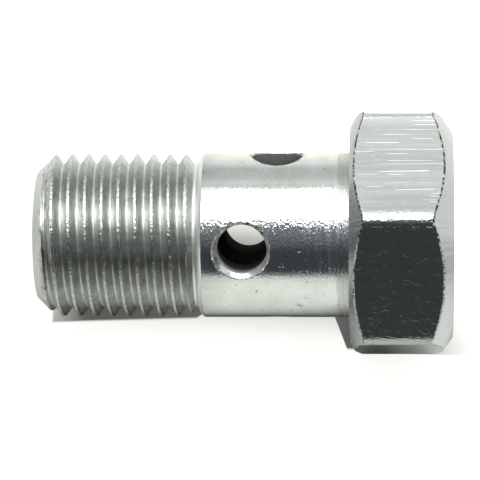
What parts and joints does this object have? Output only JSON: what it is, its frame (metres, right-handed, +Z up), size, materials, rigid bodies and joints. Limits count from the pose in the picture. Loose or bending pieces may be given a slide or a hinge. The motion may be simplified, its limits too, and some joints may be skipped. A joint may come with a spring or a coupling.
{
  "type": "banjo bolt",
  "caption": "Hexagon-head hollow union bolt with a blind axial bore, staggered cross holes, plain shank and fine thread, lying on a head flat and its thread end.",
  "frame": {"origin": "centre of the bearing face under the head, on the bolt's axis", "axes": "+Z up as the bolt lies at rest; the thread points towards -X and leans 6.3 degrees below level; -Y is the side with the lower cross hole's near mouth"},
  "size_m": [0.0261, 0.016, 0.0145],
  "materials": {
    "zinc_plated_steel": "bright zinc plating over turned and drawn steel"
  },
  "bodies": {
    "root": {"banjo_bolt": "zinc_plated_steel"}
  },
  "joints": []
}
